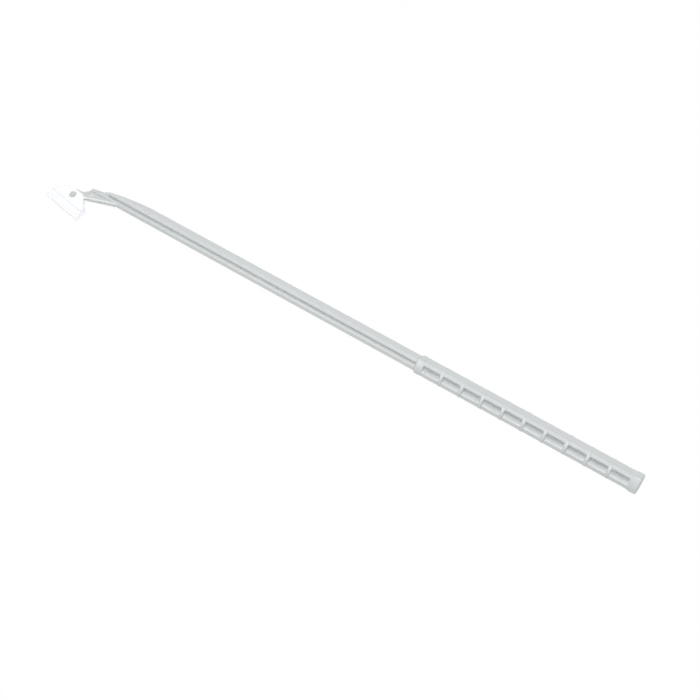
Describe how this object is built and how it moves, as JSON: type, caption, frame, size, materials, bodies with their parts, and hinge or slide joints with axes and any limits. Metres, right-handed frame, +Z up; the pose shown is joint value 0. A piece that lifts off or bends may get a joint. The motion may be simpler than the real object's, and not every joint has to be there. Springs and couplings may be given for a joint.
{
  "type": "cell scraper",
  "caption": "Long ribbed handle with a slanted tang that carries a swivelling, soft, straight-edged blade for lifting cells off the floor of a culture vessel.",
  "frame": {"origin": "middle of the flat end face of the grip", "axes": "+X along the handle towards the blade, +Z up with the scraper lying on a bench, +Y towards the side the blade's edge faces"},
  "size_m": [0.2506, 0.0195, 0.0078],
  "materials": {
    "grey_plastic": "rigid moulded plastic, light cool grey, satin",
    "white_elastomer": "soft moulded elastomer, near white, smooth"
  },
  "bodies": {
    "grip": {"handle": "grey_plastic"},
    "scraper_blade": {"blade": "white_elastomer"}
  },
  "joints": [
    {"name": "blade_swivel", "type": "hinge", "parent": "grip", "child": "scraper_blade", "pos_m": [0.2404, 0.00763, -0.00107], "axis": [0, 0.1392, 0.9903], "range_deg": [-80, 10]}
  ]
}
